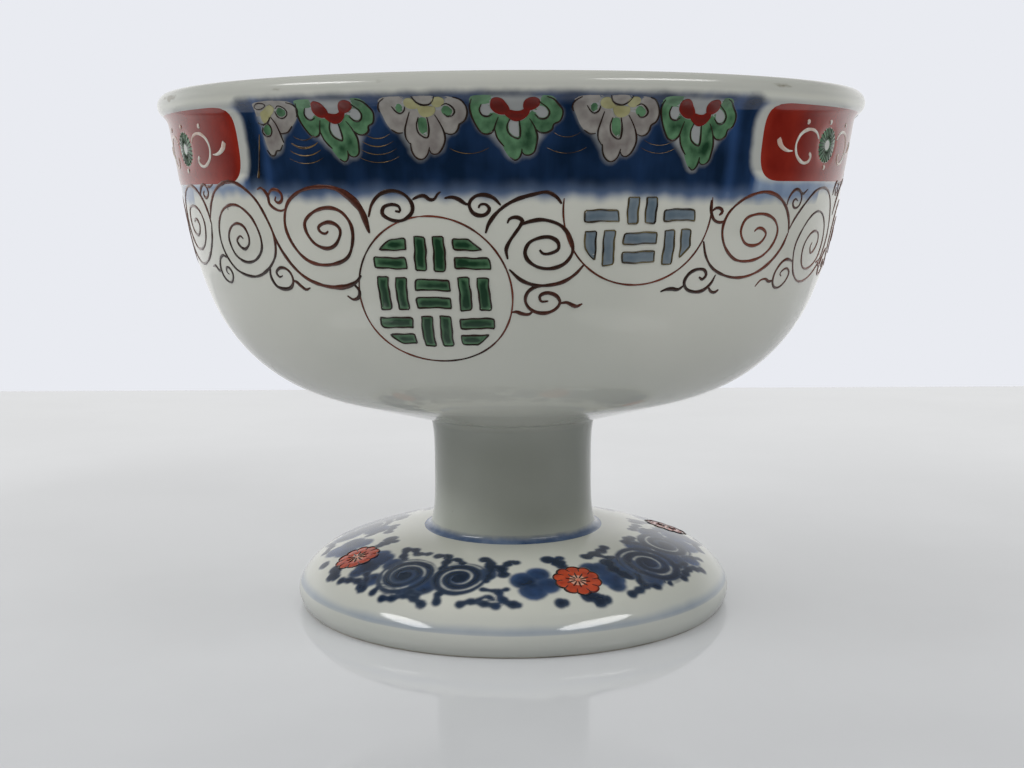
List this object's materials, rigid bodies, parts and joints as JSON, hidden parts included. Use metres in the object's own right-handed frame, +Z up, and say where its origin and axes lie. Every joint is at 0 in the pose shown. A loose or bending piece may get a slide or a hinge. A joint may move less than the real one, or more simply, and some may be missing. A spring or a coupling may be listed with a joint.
{
  "type": "sake cup washing bowl",
  "caption": "Footed porcelain bowl for rinsing sake cups: deep round bowl with a beaded lip, joined with slip to a hollow stem on a wide domed foot, painted in blue and enamels.",
  "frame": {"origin": "centre of the foot's resting ring, at the height of the surface it stands on", "axes": "+Z up along the axis that the bowl, stem and foot are turned about; -Y towards the side that the picture shows"},
  "size_m": [0.16, 0.16, 0.118],
  "materials": {
    "glazed_porcelain": "gloss",
    "cobalt_under_glaze": "gloss",
    "iron_red_enamel": "gloss",
    "green_enamel": "gloss",
    "yellow_enamel": "gloss",
    "lilac_enamel": "gloss",
    "blue_enamel": "gloss",
    "dark_line_enamel": "satin",
    "gold_line": "satin"
  },
  "bodies": {
    "root": {"bowl": "glazed_porcelain", "bowl_slip_ring": "glazed_porcelain", "stem": "glazed_porcelain", "foot_slip_ring": "cobalt_under_glaze", "foot": "glazed_porcelain"}
  },
  "joints": []
}
